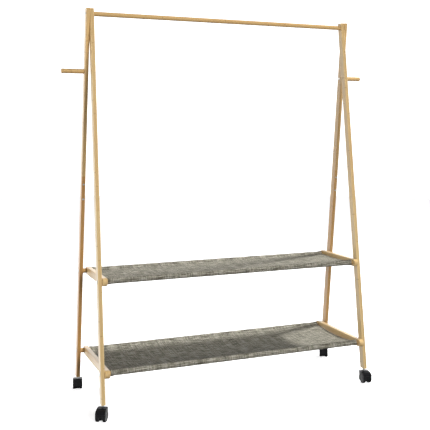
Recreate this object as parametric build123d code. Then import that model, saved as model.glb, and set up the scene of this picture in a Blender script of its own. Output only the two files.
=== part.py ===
from build123d import *
import os
from math import asin, atan2, cos, degrees, radians, sin, sqrt, tan

# A rolling clothes rack. X runs along the hanging rail, -Y is the front, Z is up.
# The origin is on the floor, under the middle of the rail. Lengths are millimetres.

# The two A-shaped end frames
overall_height = 1500
rail_height = 1480          # the bolt where each pair of legs crosses
foot_height = 56            # where the wood ends and the caster begins
foot_reach = 174            # from the middle plane out to a caster stem, along Y
pair_plane = 557.5          # X of the plane where a front and a rear leg touch
leg_thick = 15              # along X
leg_wide = 30
leg_round = 3

# The lap joint that makes each leg of two pieces
lap_centre = 684            # below the top bolt, measured along the leg
lap_length = 120
lap_screw_gap = 58
lap_groove = 1.2
screw_radius = 2
screw_head_radius = 4
screw_head_height = 2.4
screw_length = 26
screw_recess_radius = 1.4
screw_recess_depth = 2.4

# Round stock, and the bolts that join everything through the end frames
dowel_radius = 9
peg_height = 1262.5
peg_length = 88
peg_round = 4
peg_hole_radius = 2.75
peg_screw_radius = 2.25
peg_screw_grip = 25
peg_screw_head_radius = 4.8
peg_screw_head_height = 2.2
peg_screw_recess = 1.3
bolt_radius = 3
bolt_hole_radius = 3.2
bolt_head_radius = 6.5
bolt_head_height = 1.6
head_round = 0.6
hex_key = 4
hex_depth = 2
insert_radius = 4.5
insert_length = 18
insert_bore_depth = 22
fit_gap = 0.05

# The two shelves
shelf_heights = {"upper": 485, "lower": 160.5}
shelf_sags = {"upper": 10, "lower": 18}
bar_thick = 18
bar_high = 30
bar_front_overhang = 26     # past the front rod
bar_rear_overhang = 15
bar_round = 2.5
cloth_setback = 5           # from the end bar to the cloth's side hem
sleeve_radius = 10.4
sleeve_bore = 9.15
cloth_thick = 2.2

# The swivel casters
wheel_radius = 20
wheel_inner_face = 7        # from the caster's middle plane
wheel_outer_face = 19
wheel_crown = 3
swivel_trail = 17           # from the stem back to the axle
hood_top = 46
fender_inner = 21
fender_outer = 23.6
fender_half_wide = 18.5
fender_start = 28           # degrees, measured up from behind the axle
fender_end = 214            # past the top and down the front
web_half_thick = 6
web_start = -34             # the web reaches lower than the fender behind the axle
web_radius = 18.5
web_hub_radius = 7
boss_radius = 8.5
boss_bottom = 26
shoulder_bottom = 32        # the flat-topped block that joins the boss to the fender
shoulder_corner = 5
shoulder_edge = 1.5
hood_round = 1
ring_outer = 16.5           # the ringed recess in a wheel's outer face
ring_inner = 8.5
ring_depth = 1
rim_inner = 17              # the hollow in a wheel's inner face
hollow_share = 0.3
hub_radius = 7.5
hub_proud = 0.3
axle_radius = 2.5
axle_half_length = 16
running_gap = 0.06
pin_radius = 3.2
pin_bottom = 31
bead_height = 36
bead_radius = 3.6
bead_half_high = 1
collar_radius = 5
collar_bottom = 46.3
collar_top = 54.4
stem_radius = 4
stem_top = 85
socket_radius = 5.5
socket_flange_radius = 7
socket_flange = 1.5
socket_top = 89
socket_end = 2              # room past the socket's closed end, and the thickness of that end

# How far each caster has swivelled at rest, in degrees from trailing straight back
caster_headings = {
    ("front", "left"): 150,
    ("front", "right"): 174,
    ("rear", "left"): -12,
    ("rear", "right"): -30,
}

# Worked out from the driving dimensions
lean = atan2(foot_reach, rail_height - foot_height)
inner_face = pair_plane - leg_thick
outer_face = pair_plane + leg_thick
bar_inner = inner_face - bar_thick
cloth_half = bar_inner - cloth_setback
sides = {"left": -1, "right": 1}
ends = {"front": -1, "rear": 1}
across = Rotation(0, 90, 0)     # turns a shape's Z axis along +X
clear = 100                     # well past the face of any piece that is cut
nodes = {}


def leg_reach(height):
    """Distance of a leg's middle line from the middle plane, at a height."""
    return tan(lean) * (rail_height - height)


def rod(radius, start, end, y=0.0, z=0.0):
    """A round bar along X between two X positions."""
    return Pos((start + end) / 2, y, z) * across * Cylinder(radius, abs(end - start))


def upright(radius, bottom, top, x=0.0, y=0.0):
    """A round bar along Z between two heights."""
    return Pos(x, y, (bottom + top) / 2) * Cylinder(radius, top - bottom)


def leg_x(end, side):
    """The rear leg of a pair stands outside the front one."""
    return sides[side] * (pair_plane + ends[end] * leg_thick / 2)


def lap_screw_places():
    return [lap_centre - lap_screw_gap / 2, lap_centre + lap_screw_gap / 2]


def leg_pieces():
    """The upper and lower halves of a front leg. The top bolt is at their origin, X is its axis."""
    lap_start = lap_centre - lap_length / 2
    lap_end = lap_centre + lap_length / 2
    stock = extrude(RectangleRounded(leg_thick, leg_wide, leg_round), 1.1 * rail_height, both=True)
    # the outer face of the leg is at -Y, and the tongue of the upper half lies there
    outer_half = Pos(0, -leg_wide / 2, 0) * Box(clear, leg_wide, 4 * rail_height)
    above_start = Pos(0, 0, rail_height - lap_start) * Box(clear, clear, 2 * rail_height)
    above_end = Pos(0, 0, rail_height - lap_end) * Box(clear, clear, 2 * rail_height)
    upper = (stock & above_start) + (stock & above_end & outer_half)
    lower = stock - above_end + ((stock & above_end) - above_start - outer_half)
    # a fine V groove marks each end of the lap
    groove = Rotation(45, 0, 0) * Box(clear, lap_groove, lap_groove)
    grooves = Pos(0, -leg_wide / 2, -lap_end) * groove + Pos(0, leg_wide / 2, -lap_start) * groove
    upper -= grooves
    lower -= grooves
    for place in lap_screw_places():
        hole = lap_screw(fit_gap)
        upper -= Pos(0, 0, -place) * hole
        lower -= Pos(0, 0, -place) * hole
    # lean the leg, then cut it level at the top and at the foot
    lift = Rotation(-degrees(lean), 0, 0)
    span = overall_height - foot_height
    level = Pos(0, 0, overall_height - rail_height - span / 2) * Box(clear, 2 * rail_height, span)
    upper = (lift * upper) & level
    lower = (lift * lower) & level
    upper -= rod(bolt_hole_radius, -leg_thick, leg_thick)
    upper -= leg_hole(peg_hole_radius, peg_height)
    for height in shelf_heights.values():
        lower -= leg_hole(bolt_hole_radius, height)
    hole = upright(socket_radius + fit_gap, foot_height - clear, socket_top + socket_end, 0, -foot_reach)
    lower -= Pos(0, 0, -rail_height) * hole
    return upper, lower


def leg_hole(radius, height):
    return rod(radius, -leg_thick, leg_thick, -leg_reach(height), height - rail_height)


def lap_screw(growth=0.0):
    """A countersunk wood screw along Y, its head flush in the leg's inner face at +Y."""
    head = Pos(0, leg_wide / 2 - screw_head_height / 2, 0) * Rotation(-90, 0, 0) * Cone(
        screw_radius + growth, screw_head_radius + growth, screw_head_height
    )
    tip = leg_wide / 2 - screw_length
    shank = Pos(0, (leg_wide / 2 + tip) / 2, 0) * Rotation(90, 0, 0) * Cylinder(
        screw_radius + growth, screw_length
    )
    return head + shank


def make_legs():
    upper, lower = leg_pieces()
    for side in sides:
        for end in ends:
            for half, piece in (("upper", upper), ("lower", lower)):
                shape = piece if end == "front" else mirror(piece, Plane.XZ)
                nodes[f"{end}_{side}_{half}_leg"] = Pos(leg_x(end, side), 0, rail_height) * shape


def make_lap_screws():
    recess = Rotation(90, 0, 0) * Cylinder(screw_recess_radius, screw_recess_depth)
    screw = lap_screw() - Pos(0, leg_wide / 2, 0) * recess
    front_set = [Rotation(-degrees(lean), 0, 0) * Pos(0, 0, -place) * screw for place in lap_screw_places()]
    screws = []
    for side in sides:
        for end in ends:
            for one in front_set:
                shape = one if end == "front" else mirror(one, Plane.XZ)
                screws.append(Pos(leg_x(end, side), 0, rail_height) * shape)
    nodes["splice_screws"] = screws


def outermost_rim(shape, way):
    """The circular edge furthest along X, or furthest against it."""
    return shape.edges().filter_by(GeomType.CIRCLE).sort_by(Axis.X)[-1 if way > 0 else 0]


def bolt(under_head, tip, side, y, z):
    """A flat-headed socket bolt that points inwards from an end frame."""
    way = sides[side]
    top = under_head + bolt_head_height
    head = rod(bolt_head_radius, way * under_head, way * top, y, z)
    head = fillet(outermost_rim(head, way), head_round)
    key = across * extrude(RegularPolygon(hex_key / sqrt(3), 6), hex_depth, both=True)
    socket = Pos(way * top, y, z) * key
    return head + rod(bolt_radius, way * under_head, way * tip, y, z) - socket


def insert(mouth, side, y, z):
    """A threaded metal bush pressed into the end of a rod, its mouth flush with the rod's end."""
    way = sides[side]
    deep = mouth - insert_length
    bush = rod(insert_radius, way * mouth, way * deep, y, z)
    return bush - rod(bolt_radius + fit_gap, way * (mouth + 1), way * (deep - 1), y, z)


def cross_rod(half_length, y, z):
    """A dowel between the two end frames, bored at both ends for its bushes."""
    shape = rod(dowel_radius, -half_length, half_length, y, z)
    for way in sides.values():
        bore_end = half_length - insert_bore_depth
        shape -= rod(insert_radius + fit_gap, way * (half_length + 1), way * bore_end, y, z)
    return shape


def make_rail():
    nodes["hanging_rail"] = cross_rod(inner_face, 0, rail_height)
    nodes["rail_inserts"] = [insert(inner_face, side, 0, rail_height) for side in sides]
    tip = inner_face - insert_length
    nodes["top_bolts"] = [bolt(outer_face, tip, side, 0, rail_height) for side in sides]


def make_pegs():
    y = leg_reach(peg_height)
    screws = []
    for side, way in sides.items():
        tip = outer_face + peg_length
        peg = rod(dowel_radius, way * outer_face, way * tip, y, peg_height)
        peg = fillet(outermost_rim(peg, way), peg_round)
        grip = outer_face + peg_screw_grip
        peg -= rod(peg_screw_radius + fit_gap, way * (outer_face - 1), way * (grip + 1), y, peg_height)
        nodes[f"{side}_peg"] = peg
        head_top = pair_plane - peg_screw_head_height
        head = rod(peg_screw_head_radius, way * pair_plane, way * head_top, y, peg_height)
        head = fillet(outermost_rim(head, -way), head_round)
        slot = rod(peg_screw_recess, way * (head_top - 1), way * (head_top + 1), y, peg_height)
        shank = rod(peg_screw_radius, way * pair_plane, way * grip, y, peg_height)
        screws.append(head + shank - slot)
    nodes["peg_screws"] = screws


def end_bar(side, height):
    """The flat bar with rounded ends that carries both rods of a shelf, seen edge-on from the front."""
    reach = leg_reach(height)
    nose = bar_high / 2
    front = -reach - bar_front_overhang + nose
    rear = reach + bar_rear_overhang - nose
    outline = Pos((front + rear) / 2, 0) * SlotCenterToCenter(rear - front, bar_high)
    plane = Plane(origin=(bar_inner, 0, height), x_dir=(0, 1, 0), z_dir=(1, 0, 0))
    bar = extrude(plane * outline, bar_thick)
    bar = fillet(bar.faces().filter_by(Axis.X).edges(), bar_round)
    for way in ends.values():
        bar -= rod(bolt_hole_radius, bar_inner - 1, inner_face + 1, way * reach, height)
    return bar if sides[side] > 0 else mirror(bar, Plane.YZ)


def make_shelf_frames():
    inserts = []
    bolts = {"front": [], "rear": []}
    for shelf, height in shelf_heights.items():
        reach = leg_reach(height)
        for end, way in ends.items():
            nodes[f"{shelf}_{end}_rod"] = cross_rod(bar_inner, way * reach, height)
        for side, way in sides.items():
            nodes[f"{shelf}_{side}_end_bar"] = end_bar(side, height)
            spacer = rod(dowel_radius, way * inner_face, way * pair_plane, reach, height)
            bore = rod(bolt_hole_radius, way * (inner_face - 1), way * (pair_plane + 1), reach, height)
            nodes[f"{shelf}_{side}_spacer"] = spacer - bore
            tip = bar_inner - insert_length
            bolts["front"].append(bolt(pair_plane, tip, side, -reach, height))
            bolts["rear"].append(bolt(outer_face, tip, side, reach, height))
            inserts += [insert(bar_inner, side, end * reach, height) for end in ends.values()]
    nodes["rod_inserts"] = inserts
    nodes["front_bar_bolts"] = bolts["front"]
    nodes["rear_bar_bolts"] = bolts["rear"]


def shelf_cloth(height, sag):
    """A cloth panel hanging between two sleeves, which wrap the rods. Its section runs along X."""
    reach = leg_reach(height)
    edge = reach - (sleeve_radius + sleeve_bore) / 2
    # the panel is a circular arc through both sleeves and the lowest point between them
    arc_radius = (edge ** 2 + sag ** 2) / (2 * sag)
    half_angle = degrees(asin(edge / arc_radius))
    centre = arc_radius - sag
    arc = Pos(0, centre) * CenterArc((0, 0), arc_radius, 270 - half_angle, 2 * half_angle)
    panel = trace(arc, cloth_thick)
    section = panel
    for way in ends.values():
        section += Pos(way * reach, 0) * Circle(sleeve_radius)
    for way in ends.values():
        section -= Pos(way * reach, 0) * Circle(sleeve_bore)
    plane = Plane(origin=(0, 0, height), x_dir=(0, 1, 0), z_dir=(1, 0, 0))
    return extrude(plane * section, cloth_half, both=True)


def make_cloths():
    for shelf, height in shelf_heights.items():
        nodes[f"{shelf}_shelf_fabric"] = shelf_cloth(height, shelf_sags[shelf])


# A caster is made with its stem on the Z axis and its axle behind it, towards +Y.

def about_axle(radius, start, end):
    return rod(radius, start, end, swivel_trail, wheel_radius)


def sector(radius, half_wide, start, end):
    """A slice of a disc round the axle, between two angles measured up from the rear."""
    corners = [(0, 0)]
    for turn in (start, (start + end) / 2 - 30, (start + end) / 2 + 30, end):
        far = 2 * radius
        corners.append((far * cos(radians(turn)), far * sin(radians(turn))))
    wedge_plane = Plane(origin=(0, swivel_trail, wheel_radius), x_dir=(0, 1, 0), z_dir=(1, 0, 0))
    wedge = extrude(wedge_plane * make_face(Polyline(corners, close=True)), half_wide, both=True)
    return wedge & about_axle(radius, -half_wide, half_wide)


def caster_hood():
    """The fender and its flat-topped shoulder, the web that holds the axle, and the boss for the stem."""
    fender = sector(fender_outer, fender_half_wide, fender_start, fender_end)
    fender -= about_axle(fender_inner, -clear, clear)
    fender = fillet(fender.edges().filter_by(GeomType.CIRCLE).group_by(SortBy.RADIUS)[-1], hood_round)
    web = sector((fender_inner + fender_outer) / 2, web_half_thick, fender_start, fender_end)
    web += sector(web_radius, web_half_thick, web_start, fender_start + 5)
    web += about_axle(web_hub_radius, -web_half_thick, web_half_thick)
    boss = upright(boss_radius, boss_bottom, hood_top)
    boss = fillet(boss.edges().filter_by(GeomType.CIRCLE).sort_by(Axis.Z)[-1], hood_round)
    for way in sides.values():
        boss -= about_axle(fender_inner, way * web_half_thick, way * clear)
    long, high = swivel_trail + boss_radius, hood_top - shoulder_bottom
    place = Pos(0, swivel_trail - long / 2, hood_top - high / 2)
    shoulder = place * Box(2 * fender_half_wide, long, high)
    shoulder = fillet(shoulder.edges().filter_by(Axis.Z).group_by(Axis.Y)[0], shoulder_corner)
    shoulder = fillet(shoulder.faces().sort_by(Axis.Z)[-1].edges(), shoulder_edge)
    shoulder -= about_axle(fender_inner, -clear, clear)
    hood = fender + web + boss + shoulder
    hood -= about_axle(axle_radius + fit_gap / 2, -clear, clear)
    hood -= upright(pin_radius + running_gap, pin_bottom - 10 * running_gap, hood_top + 1)
    half = bead_half_high + 5 * running_gap
    hood -= upright(bead_radius + running_gap, bead_height - half, bead_height + half)
    return hood


def caster_wheel(way):
    """A solid wheel with a crowned tread and a ringed outer face, bored from the inside."""
    width = wheel_outer_face - wheel_inner_face
    wheel = about_axle(wheel_radius, way * wheel_inner_face, way * wheel_outer_face)
    wheel = fillet(wheel.edges().filter_by(GeomType.CIRCLE), wheel_crown)
    ring = about_axle(ring_outer, way * (wheel_outer_face - ring_depth), way * clear)
    ring -= about_axle(ring_inner, 0, way * 2 * clear)
    hub = about_axle(hub_radius, way * (wheel_inner_face + hub_proud), way * (wheel_inner_face - hub_proud))
    hollow = about_axle(rim_inner, 0, way * (wheel_inner_face + hollow_share * width))
    hollow -= about_axle(hub_radius, -way * clear, way * clear)
    bore = about_axle(axle_radius + running_gap, 0, way * (axle_half_length + hub_proud))
    return wheel - ring + hub - hollow - bore


def caster_stem():
    """A threaded stem with a collar, and the pin with a snap bead that the hood turns on."""
    stem = upright(stem_radius, collar_top - 1, stem_top)
    collar = upright(collar_radius, collar_bottom, collar_top)
    collar = chamfer(collar.edges().filter_by(GeomType.CIRCLE), 0.5)
    pin = upright(pin_radius, pin_bottom, collar_bottom + 1)
    bead = upright(bead_radius, bead_height - bead_half_high, bead_height + bead_half_high)
    return stem + collar + pin + bead


def caster_socket():
    sleeve = upright(socket_radius, foot_height, socket_top)
    flange = upright(socket_flange_radius, foot_height - socket_flange, foot_height)
    bore = upright(stem_radius + fit_gap, foot_height - clear, socket_top - socket_end)
    return sleeve + flange - bore


def make_casters():
    hood = caster_hood()
    axle = about_axle(axle_radius, -axle_half_length, axle_half_length)
    stems = []
    sockets = []
    for end, end_way in ends.items():
        for side in sides:
            foot = Pos(leg_x(end, side), end_way * foot_reach, 0)
            place = foot * Rotation(0, 0, caster_headings[end, side])
            stems.append(foot * caster_stem())
            sockets.append(foot * caster_socket())
            name = f"{end}_{side}_caster"
            nodes[f"{name}_hood"] = place * hood
            nodes[f"{name}_axle"] = place * axle
            nodes[f"{name}_left_wheel"] = place * caster_wheel(-1)
            nodes[f"{name}_right_wheel"] = place * caster_wheel(1)
    nodes["caster_stems"] = stems
    nodes["caster_sockets"] = sockets


make_legs()
make_lap_screws()
make_rail()
make_pegs()
make_shelf_frames()
make_cloths()
make_casters()

os.makedirs("parts", exist_ok=True)
for name, shape in nodes.items():
    shapes = shape if isinstance(shape, list) else [shape]
    solids = [solid for one in shapes for solid in one.solids()]
    export_step(Compound(children=solids), f"parts/{name}.step")
    print(f"{name}: {len(solids)} solid(s)")
print(f"leg lean {degrees(lean):.2f} degrees, {len(nodes)} nodes")
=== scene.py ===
import bmesh
import bpy
from math import acos, atan2, cos, pi, radians, sin, sqrt
from mathutils import Matrix, Vector, noise


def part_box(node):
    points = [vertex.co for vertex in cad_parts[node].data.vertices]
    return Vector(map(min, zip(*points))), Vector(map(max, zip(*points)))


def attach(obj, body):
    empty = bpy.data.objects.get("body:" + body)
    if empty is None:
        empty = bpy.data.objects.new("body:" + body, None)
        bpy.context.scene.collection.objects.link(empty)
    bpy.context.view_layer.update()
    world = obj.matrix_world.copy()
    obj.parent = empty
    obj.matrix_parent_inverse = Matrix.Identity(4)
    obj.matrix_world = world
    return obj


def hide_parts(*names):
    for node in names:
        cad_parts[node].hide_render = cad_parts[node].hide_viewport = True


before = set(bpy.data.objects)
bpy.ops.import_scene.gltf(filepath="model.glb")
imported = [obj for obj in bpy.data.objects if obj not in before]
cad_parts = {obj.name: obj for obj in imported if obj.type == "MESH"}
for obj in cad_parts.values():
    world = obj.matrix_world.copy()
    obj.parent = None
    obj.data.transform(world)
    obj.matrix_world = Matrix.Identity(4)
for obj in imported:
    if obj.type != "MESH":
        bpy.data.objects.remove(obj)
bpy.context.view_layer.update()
print("frame loaded:", len(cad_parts), "nodes")


# A socket that can be used in sums, so that a pattern reads as an expression.
class Wire:
    def __init__(self, tree, socket=None):
        self.tree = tree
        self.socket = socket

    # a value's name is its socket's name, or i and a number for the socket in that place
    def node(self, kind, settings=None, out=0, **values):
        made = self.tree.nodes.new("ShaderNode" + kind)
        for name, value in (settings or {}).items():
            if name == "stops":
                fillRamp(made.color_ramp, value)
            else:
                setattr(made, name, value)
        for name, value in values.items():
            slot = made.inputs[int(name[1:])] if name[1:].isdigit() else made.inputs[name.replace("_", " ")]
            if isinstance(value, Wire):
                self.tree.links.new(value.socket, slot)
            else:
                slot.default_value = value
        return Wire(self.tree, made.outputs[out])

    def split(self):
        made = self.node("SeparateXYZ", Vector=self).socket.node
        return [Wire(self.tree, socket) for socket in made.outputs]

    def math(self, operation, second=0.0):
        return self.node("Math", {"operation": operation}, i0=self, i1=second)

    def __add__(self, other):
        return self.math("ADD", other)

    def __radd__(self, other):
        return self.math("ADD", other)

    def __sub__(self, other):
        return self.math("SUBTRACT", other)

    def __rsub__(self, other):
        return self.node("Math", {"operation": "SUBTRACT"}, i0=other, i1=self)

    def __mul__(self, other):
        return self.math("MULTIPLY", other)

    def __rmul__(self, other):
        return self.math("MULTIPLY", other)

    def __truediv__(self, other):
        return self.math("DIVIDE", other)

    def between(self, low, high, start=0.0, end=1.0):
        return self.node("MapRange", {"interpolation_type": "SMOOTHSTEP"}, Value=self,
                         From_Min=low, From_Max=high, To_Min=start, To_Max=end)

    def spread(self, scale, turn=(0, 0, 0)):
        return self.node("Mapping", Vector=self, Rotation=turn, Scale=scale)

    def noise(self, scale, detail=3.0, rough=0.55):
        return self.node("TexNoise", Vector=self, Scale=scale, Detail=detail, Roughness=rough)

    # noise stretched as one entry of a finish says, times that entry's share
    def streaks(self, look):
        return self.spread(look["scale"]).noise(1.0, look["detail"], look["rough"]) * look["share"]

    def blend(self, first, second):
        def asInput(colour):
            return colour if isinstance(colour, Wire) else (*colour, 1)
        return self.node("Mix", {"data_type": "RGBA"}, out=2, i0=self, i6=asInput(first), i7=asInput(second))

    def ramp(self, *stops):
        return self.node("ValToRGB", {"stops": stops}, Fac=self)

    def feed(self, shader, name):
        self.tree.links.new(self.socket, shader.inputs[name])


def fillRamp(ramp, stops):
    while len(ramp.elements) < len(stops):
        ramp.elements.new(1)
    for element, (place, colour) in zip(ramp.elements, stops):
        element.position = place
        element.color = (*colour, 1)


def newMaterial(name, **fixed):
    made = bpy.data.materials.new(name)
    made.use_nodes = True
    shader = made.node_tree.nodes["Principled BSDF"]
    for slot, value in fixed.items():
        shader.inputs[slot.replace("_", " ")].default_value = value
    return made, shader, Wire(made.node_tree)


objectSpace = 3     # the Texture Coordinate output that gives the rack's own X, Y and Z in metres

# Grain runs along Z of the turned coordinates.
bamboo = {
    "pale": (0.71, 0.52, 0.25),
    "deep": (0.50, 0.31, 0.125),
    "dark": (0.26, 0.14, 0.055),         # knots and glue lines
    "fade": (1.0, 2.2, 3.6),             # how much faster green and blue fall in a darker, redder piece
    "strip": {"wide": 0.0075, "deep": 0.015, "columnStep": 7.31, "layerStep": 3.77, "share": 0.4},
    "fibre": {"scale": (1100, 1100, 26), "detail": 5.0, "rough": 0.62},
    "fibreShare": 0.8,
    "cloud": {"scale": (60, 60, 5), "detail": 3.0, "rough": 0.5, "share": 0.8},
    "paler": 0.55,
    "knot": {"every": 0.27, "long": 0.0022, "core": 0.3, "shift": 5.0, "strength": 0.5},
    "glue": {"from": 0.46, "edge": 0.5, "strength": 0.22},
    "gloss": {"rough": 0.32, "fibre": 0.2, "knot": 0.1},
    "relief": {"fibre": 0.5, "knot": 0.6, "glue": 0.4, "strength": 0.15, "high": 0.0005},
    "varnish": {"Specular_IOR_Level": 0.25, "Coat_Weight": 0.9, "Coat_Roughness": 0.3},
    "roundTone": 0.94,
    # leg tones are partly real and partly painted shade: the darker rear tones paint the shade on the rear
    # legs' front faces, which tilt down away from the light, and the left rear lower piece is darkest because
    # it also paints the shadow it stands in; the slightly paler front lower pieces are real
    "legToneAndShade": {
        "front_left_upper": 1.0, "front_left_lower": 1.03,
        "front_right_upper": 1.0, "front_right_lower": 1.03,
        "rear_left_upper": 0.96, "rear_left_lower": 0.80,
        "rear_right_upper": 0.95, "rear_right_lower": 0.87,
    },
}


def bambooFinish(name, turn, toneAndShade=1.0):
    made, shader, w = newMaterial(name, **bamboo["varnish"])
    strip, knotLook, glueLook = bamboo["strip"], bamboo["knot"], bamboo["glue"]
    gloss, relief, fibreLook = bamboo["gloss"], bamboo["relief"], bamboo["fibre"]
    along = w.node("TexCoord", out=objectSpace).spread((1, 1, 1), turn)
    x, y, z = along.split()
    column, layer = (x / strip["wide"]).math("FLOOR"), (y / strip["deep"]).math("FLOOR")
    # each glued strip has its own number, and so its own tone and knots
    own = w.node("TexWhiteNoise", {"noise_dimensions": "1D"},
                 W=column * strip["columnStep"] + layer * strip["layerStep"])
    step = (z / knotLook["every"] + own * knotLook["shift"]).math("FRACT")
    fromKnot = (step - 0.5).math("ABSOLUTE") * knotLook["every"]
    knot = fromKnot.between(knotLook["long"] * knotLook["core"], knotLook["long"], 1.0, 0.0)
    fibre = along.spread(fibreLook["scale"]).noise(1.0, fibreLook["detail"], fibreLook["rough"])
    cloud = along.streaks(bamboo["cloud"])
    shade = own * strip["share"] + fibre * bamboo["fibreShare"] + cloud - bamboo["paler"]
    # a tone below one darkens and reddens the piece: real tone for round stock and front legs, partly painted
    # shade for the rear legs
    pale, deep = [tuple(channel * toneAndShade ** power for channel, power in zip(bamboo[colour], bamboo["fade"]))
                  for colour in ("pale", "deep")]
    fromMiddle = ((x / strip["wide"]).math("FRACT") - 0.5).math("ABSOLUTE")
    glue = fromMiddle.between(glueLook["from"], glueLook["edge"])
    wood = w.node("Clamp", Value=shade).blend(pale, deep)
    knotted = (knot * knotLook["strength"]).blend(wood, bamboo["dark"])
    (glue * glueLook["strength"]).blend(knotted, bamboo["dark"]).feed(shader, "Base Color")
    (fibre * gloss["fibre"] + gloss["rough"] + knot * gloss["knot"]).feed(shader, "Roughness")
    height = fibre * relief["fibre"] + knot * relief["knot"] - glue * relief["glue"]
    w.node("Bump", Strength=relief["strength"], Distance=relief["high"], Height=height).feed(shader, "Normal")
    return made


steel = {
    "dull": (0.62, 0.62, 0.60),
    "bright": (0.80, 0.80, 0.78),
    "blotch": {"scale": 420.0, "detail": 4.0},
    "rough": 0.18,
    "swing": 0.25,
}


def steelFinish():
    made, shader, w = newMaterial("zincSteel", Metallic=1.0)
    blotch = w.node("TexCoord", out=objectSpace).noise(steel["blotch"]["scale"], steel["blotch"]["detail"])
    blotch.ramp((0.3, steel["dull"]), (0.7, steel["bright"])).feed(shader, "Base Color")
    (blotch * steel["swing"] + steel["rough"]).feed(shader, "Roughness")
    return made


nylon = {
    "hood": {"name": "hoodNylon", "colour": (0.005, 0.005, 0.006), "rough": 0.26},
    "wheel": {"name": "wheelNylon", "colour": (0.007, 0.007, 0.008), "rough": 0.32},
    "specular": 0.3,
    "grain": {"scale": 1500.0, "swing": 0.12, "strength": 0.08, "high": 0.0002},
    "wear": {"scale": 90.0, "detail": 4.0, "swing": 0.14, "paler": 1.9},
}


def nylonFinish(part):
    made, shader, w = newMaterial(nylon[part]["name"], Specular_IOR_Level=nylon["specular"])
    grainLook, wear, colour = nylon["grain"], nylon["wear"], nylon[part]["colour"]
    here = w.node("TexCoord", out=objectSpace)
    grain = here.noise(grainLook["scale"])
    worn = here.noise(wear["scale"], wear["detail"])
    rubbed = tuple(channel * wear["paler"] for channel in colour)
    worn.ramp((0.35, colour), (0.75, rubbed)).feed(shader, "Base Color")
    (grain * grainLook["swing"] + worn * wear["swing"] + nylon[part]["rough"]).feed(shader, "Roughness")
    bump = w.node("Bump", Strength=grainLook["strength"], Distance=grainLook["high"], Height=grain)
    bump.feed(shader, "Normal")
    return made


# Thick uneven yarns in light and dark greys. The pattern follows the cloth's own flat cut, in metres.
weave = {
    "dark": (0.105, 0.098, 0.074),
    "middle": (0.235, 0.221, 0.176),
    "light": (0.43, 0.41, 0.34),
    "yarnWide": 0.0017,
    "longWeft": {"scale": (20, 270, 1), "detail": 2.0, "rough": 0.6, "share": 1.0},
    "longWarp": {"scale": (260, 9, 1), "detail": 2.0, "rough": 0.6, "share": 0.55},
    "weft": {"scale": (36, 560, 1), "detail": 3.0, "rough": 0.6, "share": 0.45},
    "warp": {"scale": (560, 60, 1), "detail": 3.0, "rough": 0.6, "share": 0.3},
    "speck": {"scale": (260, 260, 260), "detail": 3.0, "rough": 0.7, "share": 0.5},
    "checkShare": 0.05,
    "darker": 0.9,
    "relief": {"check": 0.5, "shade": 0.5, "strength": 0.5, "high": 0.0009},
    "fuzz": {"Roughness": 0.92, "Specular_IOR_Level": 0.1, "Sheen_Weight": 0.05, "Sheen_Roughness": 0.5},
}


def clothFinish():
    made, shader, w = newMaterial("melangeCloth", **weave["fuzz"])
    relief = weave["relief"]
    cut = w.node("UVMap", {"uv_map": "cut"})
    u, v, _ = cut.split()
    waves = pi / weave["yarnWide"]
    check = (u * waves).math("SINE") * (v * waves).math("SINE")
    shade = check * weave["checkShare"] - weave["darker"]
    for yarns in ("longWeft", "longWarp", "weft", "warp", "speck"):
        shade = shade + cut.streaks(weave[yarns])
    colour = shade.ramp((0.38, weave["dark"]), (0.5, weave["middle"]), (0.66, weave["light"]))
    colour.feed(shader, "Base Color")
    height = check * relief["check"] + shade * relief["shade"]
    w.node("Bump", Strength=relief["strength"], Distance=relief["high"], Height=height).feed(shader, "Normal")
    return made


thread = {
    "dark": (0.10, 0.092, 0.074),
    "light": (0.21, 0.19, 0.155),
    "fuzz": {"scale": 2600.0, "detail": 2.0},
    "rough": 0.85,
}


def threadFinish():
    made, shader, w = newMaterial("greyThread", Roughness=thread["rough"])
    fuzz = w.node("TexCoord", out=objectSpace).noise(thread["fuzz"]["scale"], thread["fuzz"]["detail"])
    fuzz.ramp((0.3, thread["dark"]), (0.7, thread["light"])).feed(shader, "Base Color")
    return made


def middle(node):
    low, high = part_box(node)
    return (low + high) / 2


# The legs lean from the rail, where they cross, to the caster stems in their feet.
def legLean():
    low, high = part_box("caster_stems")
    stemRadius = (high.x - low.x) / 2 - abs(middle("rear_left_lower_leg").x)
    drop = middle("hanging_rail").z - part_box("front_left_lower_leg")[0].z
    return atan2(high.y - stemRadius, drop)


steelNodes = ("splice_screws", "rail_inserts", "top_bolts", "peg_screws", "rod_inserts",
              "front_bar_bolts", "rear_bar_bolts", "caster_stems")


def finishFor(name):
    if name in steelNodes or name.endswith("_axle"):
        return "steel"
    if name.endswith("_leg"):
        return name.removesuffix("_leg")
    if name.endswith("_end_bar"):
        return "endBars"
    if name.endswith("_hood") or name == "caster_sockets":
        return "hood"
    if name.endswith("_wheel"):
        return "wheel"
    if name.endswith("_fabric"):
        return "cloth"
    return "roundStock"


def makeFinishes():
    lean = legLean()
    made = {
        "roundStock": bambooFinish("bambooRound", (0, radians(90), 0), bamboo["roundTone"]),
        "endBars": bambooFinish("bambooBars", (radians(90), 0, 0)),
        "steel": steelFinish(),
        "hood": nylonFinish("hood"),
        "wheel": nylonFinish("wheel"),
        "cloth": clothFinish(),
        "thread": threadFinish(),
    }
    # the rear legs' tones here include painted shade
    for leg, toneAndShade in bamboo["legToneAndShade"].items():
        way = 1 if leg.startswith("front") else -1
        made[leg] = bambooFinish("bamboo_" + leg, (way * lean, 0, 0), toneAndShade)
    return made


finishes = makeFinishes()
for name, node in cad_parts.items():
    node.data.materials.clear()
    node.data.materials.append(finishes[finishFor(name)])
print("finishes made:", len(finishes))


def addObject(name, bm, material):
    mesh = bpy.data.meshes.new(name)
    bm.to_mesh(mesh)
    bm.free()
    mesh.materials.append(material)
    piece = bpy.data.objects.new(name, mesh)
    bpy.context.collection.objects.link(piece)
    return piece


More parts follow.
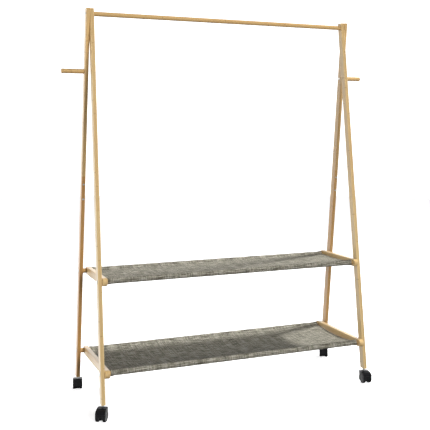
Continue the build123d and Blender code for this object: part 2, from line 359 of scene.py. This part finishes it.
# Each shelf is one flat cut, wrapped round both rods and sewn back to itself.
cloth = {
    "thick": 0.0013,
    "hemThick": 0.0026,
    "hemWide": 0.012,
    "loopOut": 0.0098,       # from the rod's middle line to the middle of the cloth
    "hemLift": 0.0007,
    "seamInboard": 0.0165,   # from the rod's middle line to the sleeve's seam
    "columns": 150,
    "rows": 140,
    "ripple": 0.0010,
    "longFold": {"along": 9, "across": 2.5, "seedStep": 0, "share": 1.0},
    "shortFold": {"along": 26, "across": 3, "seedStep": 5, "share": 0.5},
    "slack": {"deep": 0.0002, "along": 30, "across": 60},
}
shelves = {
    "upper": {"sag": 0.0055, "endSag": 0.4, "seed": 3.0},
    "lower": {"sag": 0.0165, "endSag": 0.6, "seed": 11.0},
}
stitch = {
    "long": 0.0030,
    "pitch": 0.0044,
    "radius": 0.00035,
    "hemRow": 0.0095,        # from the cloth's end
    "seamRow": 0.0015,       # from the seam, towards the panel's middle
    "seamSpare": 4,          # stitches left off a row, so that it ends inside the cloth
    "hemSpare": 1,
}


class Shelf:
    def __init__(self, name, shape):
        self.name = name
        self.shape = shape
        low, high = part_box(f"{name}_shelf_fabric")
        self.width = high.x - low.x
        self.front = middle(f"{name}_front_rod")
        self.rear = middle(f"{name}_rear_rod")
        out, inboard = cloth["loopOut"], cloth["seamInboard"]
        self.straight = sqrt(inboard ** 2 - out ** 2)
        self.opening = acos(out / inboard)
        self.arc = out * (2 * pi - 2 * self.opening)
        self.loop = 2 * self.straight + self.arc
        self.panel = self.rear.y - self.front.y - 2 * inboard
        self.length = self.panel + 2 * self.loop

    def hem(self, u):
        return 1.0 if self.width / 2 - abs(u) < cloth["hemWide"] else 0.0

    # run goes from the seam under the rod, round its outside and back over the top to the seam
    def roundRod(self, run, lift):
        out = cloth["loopOut"] + lift
        if run < self.straight:
            foot = Vector((out * cos(self.opening), -out * sin(self.opening)))
            under = Vector((cloth["seamInboard"], -cloth["thick"]))
            return under.lerp(foot, run / self.straight)
        if run > self.straight + self.arc:
            share = (run - self.straight - self.arc) / self.straight
            top = Vector((out * cos(self.opening), out * sin(self.opening)))
            return top.lerp(Vector((cloth["seamInboard"], 0)), share)
        turn = -self.opening - (run - self.straight) / cloth["loopOut"]
        return Vector((out * cos(turn), out * sin(turn)))

    # how far the panel hangs below the rods, with share going from the rear seam to the front one
    def sagAt(self, u, share):
        ends = (2 * abs(u) / self.width) ** 2
        deep = self.shape["sag"] * (1 - ends * (1 - self.shape["endSag"]))
        fold = 0.0
        for look in (cloth["longFold"], cloth["shortFold"]):
            seed = self.shape["seed"] + look["seedStep"]
            fold += look["share"] * noise.noise(Vector((u * look["along"], share * look["across"], seed)))
        bow = 1 - (2 * share - 1) ** 2
        return (deep + cloth["ripple"] * fold) * bow

    # where a point of the flat cut ends up: u is along the rods, s across them
    def place(self, u, s):
        loose = cloth["slack"]
        slack = noise.noise(Vector((u * loose["along"], s * loose["across"], self.shape["seed"])))
        lift = cloth["hemLift"] * self.hem(u) + loose["deep"] * slack
        if s < self.loop:
            back, up = self.roundRod(s, lift)
            return Vector((u, self.rear.y - back, self.rear.z + up))
        if s > self.length - self.loop:
            back, up = self.roundRod(self.length - s, lift)
            return Vector((u, self.front.y + back, self.front.z + up))
        share = (s - self.loop) / self.panel
        y = self.rear.y - cloth["seamInboard"] - share * self.panel
        return Vector((u, y, self.rear.z - self.sagAt(u, share)))

    def make(self):
        bm = bmesh.new()
        layer = bm.loops.layers.uv.new("cut")
        weights = bm.verts.layers.deform.new()
        bmesh.ops.create_grid(bm, x_segments=cloth["columns"], y_segments=cloth["rows"], size=0.5)
        flat = {v: (v.co.x * self.width, (v.co.y + 0.5) * self.length) for v in bm.verts}
        for face in bm.faces:
            for corner in face.loops:
                corner[layer].uv = flat[corner.vert]
        for v, (u, s) in flat.items():
            v[weights][0] = self.hem(u)
            v.co = self.place(u, s)
        bmesh.ops.recalc_face_normals(bm, faces=bm.faces)
        piece = addObject(f"{self.name}_shelf_cloth", bm, finishes["cloth"])
        piece.data.shade_smooth()
        piece.vertex_groups.new(name="hem")
        wall = piece.modifiers.new("thickness", "SOLIDIFY")
        wall.thickness = cloth["hemThick"]
        wall.offset = 0
        wall.vertex_group = "hem"
        wall.thickness_vertex_group = cloth["thick"] / cloth["hemThick"]
        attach(piece, "rack")
        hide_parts(f"{self.name}_shelf_fabric")
        return piece

    # stitches are laid out on the flat cut and go with the cloth to where that ends up
    def settle(self, point):
        tiny = 0.0005
        u, s, height = point
        down = (self.place(u, s + tiny) - self.place(u, s - tiny)).normalized()
        up = Vector((1, 0, 0)).cross(down)
        return self.place(u, s) + up * height

    def makeStitches(self):
        bm = bmesh.new()
        seamCount = int(self.width / stitch["pitch"]) - stitch["seamSpare"]
        hemCount = int(self.panel / stitch["pitch"]) - stitch["hemSpare"]
        seamReach = (seamCount - 1) / 2 * stitch["pitch"]
        hemReach = (hemCount - 1) / 2 * stitch["pitch"]
        hemAt = self.width / 2 - stitch["hemRow"]
        seamAt = self.panel / 2 - stitch["seamRow"]
        middleLine = self.length / 2
        for way in (-1, 1):
            for half in (0.5, -0.5):     # the cloth's upper and lower faces
                seamStart = (-seamReach, middleLine + way * seamAt, cloth["thick"] * half)
                hemStart = (way * hemAt, middleLine - hemReach, cloth["hemThick"] * half)
                self.stitchRow(bm, seamStart, 0, seamCount)
                self.stitchRow(bm, hemStart, 1, hemCount)
        for v in bm.verts:
            v.co = self.settle(v.co)
        piece = addObject(f"{self.name}_shelf_stitches", bm, finishes["thread"])
        piece.data.shade_smooth()
        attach(piece, "rack")
        return piece

    def stitchRow(self, bm, start, along, count):
        size = [stitch["radius"]] * 3
        size[along] = stitch["long"] / 2
        step = [0, 0, 0]
        step[along] = stitch["pitch"]
        place = Matrix.Translation(start) @ Matrix.Diagonal((*size, 1))
        first = bmesh.ops.create_uvsphere(bm, u_segments=6, v_segments=4, radius=1, matrix=place)["verts"]
        faces = list({face for v in first for face in v.link_faces})
        bmesh.ops.spin(bm, geom=faces, cent=(0, 0, 0), axis=(0, 0, 1), dvec=step, angle=0,
                       steps=count - 1, use_duplicate=True)


for name, shape in shelves.items():
    shelf = Shelf(name, shape)
    piece = shelf.make()
    stitches = shelf.makeStitches()
    print(name, "shelf cloth made, flat cut", round(shelf.width, 3), "by", round(shelf.length, 3))


white = (1, 1, 1, 1)
black = (0, 0, 0, 1)
studio = {
    "room": {"radius": 9.0, "high": 14.0, "sides": 64},
    "floor": {"glow": 0.72, "rough": 0.8, "cloud": {"scale": 3.0, "detail": 2.0},
              "darker": (0.90, 0.90, 0.90), "paler": (0.92, 0.92, 0.92)},
    "wall": {"glow": 1.7, "fade": (-3.0, 4.0), "frontShare": 0.3},
    "sky": {"below": 0.02, "above": 0.15, "fade": (-0.3, 0.4)},
    "lights": {
        "high": {"at": (3.07, 0.27, 3.81), "aim": (0, 0, 0.4), "size": 0.5, "power": 245},
        "front": {"at": (0.4, -4.8, 2.0), "aim": (0, 0, 0.7), "size": 2.0, "power": 215},
        "side": {"at": (-8.0, -0.4, 0.9), "aim": (0, 0, 0.8), "size": 3.0, "power": 340},
    },
}


# a mirrored piece is seen only in reflections, and any other only by the camera
def addStage(name, bm, material, mirrored):
    piece = addObject(name, bm, material)
    piece.visible_diffuse = False
    piece.visible_glossy = mirrored
    piece.visible_camera = not mirrored
    piece.visible_shadow = False


def roundWall():
    room = studio["room"]
    bm = bmesh.new()
    bmesh.ops.create_cone(bm, cap_ends=False, segments=room["sides"], radius1=room["radius"],
                          radius2=room["radius"], depth=room["high"])
    return bm


def makeFloor():
    room, floor = studio["room"], studio["floor"]
    pale, shader, w = newMaterial("paleFloor", Roughness=floor["rough"], Emission_Color=white,
                                  Emission_Strength=floor["glow"])
    cloud = w.node("TexCoord", out=objectSpace).noise(floor["cloud"]["scale"], floor["cloud"]["detail"])
    cloud.ramp((0.0, floor["darker"]), (1.0, floor["paler"])).feed(shader, "Base Color")
    bm = bmesh.new()
    bmesh.ops.create_circle(bm, cap_ends=True, segments=room["sides"], radius=room["radius"])
    addStage("floor", bm, pale, False)


def makeWalls():
    wall = studio["wall"]
    plain, _, _ = newMaterial("whiteWall", Base_Color=black, Specular_IOR_Level=0.0, Emission_Color=white,
                              Emission_Strength=wall["glow"])
    addStage("wall", roundWall(), plain, False)
    # the mirrored wall is brightest behind the rack, so faces seen at a low angle look white
    bright, shader, w = newMaterial("mirroredWall", Base_Color=black, Specular_IOR_Level=0.0,
                                    Emission_Strength=wall["glow"])
    back = w.node("TexCoord", out=objectSpace).split()[1]
    back.between(*wall["fade"], wall["frontShare"], 1.0).feed(shader, "Emission Color")
    addStage("mirrored_wall", roundWall(), bright, True)


def makeSky():
    sky = studio["sky"]
    world = bpy.data.worlds.new("studio")
    bpy.context.scene.world = world
    world.use_nodes = True
    shader = world.node_tree.nodes["Background"]
    shader.inputs["Color"].default_value = white
    up = Wire(world.node_tree).node("TexCoord").split()[2]
    up.between(*sky["fade"], sky["below"], sky["above"]).feed(shader, "Strength")


def makeLights():
    for name, light in studio["lights"].items():
        data = bpy.data.lights.new(name, "AREA")
        data.shape = "DISK"
        data.size = light["size"]
        data.energy = light["power"]
        lamp = bpy.data.objects.new(name, data)
        bpy.context.collection.objects.link(lamp)
        lamp.visible_glossy = False     # the satin finish mirrors the white room, not the lamps
        at, aim = Vector(light["at"]), Vector(light["aim"])
        lamp.location = at
        lamp.rotation_euler = (aim - at).to_track_quat("-Z", "Y").to_euler()


camera = {"at": (-1.2256, -2.8631, 1.0444), "turn": -22.45, "lens": 64.07, "sensor": 36, "shift": -0.201}


def makeCamera():
    data = bpy.data.cameras.new("camera")
    data.lens = camera["lens"]
    data.sensor_width = camera["sensor"]
    data.shift_y = camera["shift"]
    body = bpy.data.objects.new("camera", data)
    bpy.context.collection.objects.link(body)
    body.location = camera["at"]
    body.rotation_euler = (radians(90), 0, radians(camera["turn"]))
    bpy.context.scene.camera = body


makeFloor()
makeWalls()
makeSky()
makeLights()
makeCamera()
bpy.context.scene.view_settings.view_transform = "Standard"
print("studio made")
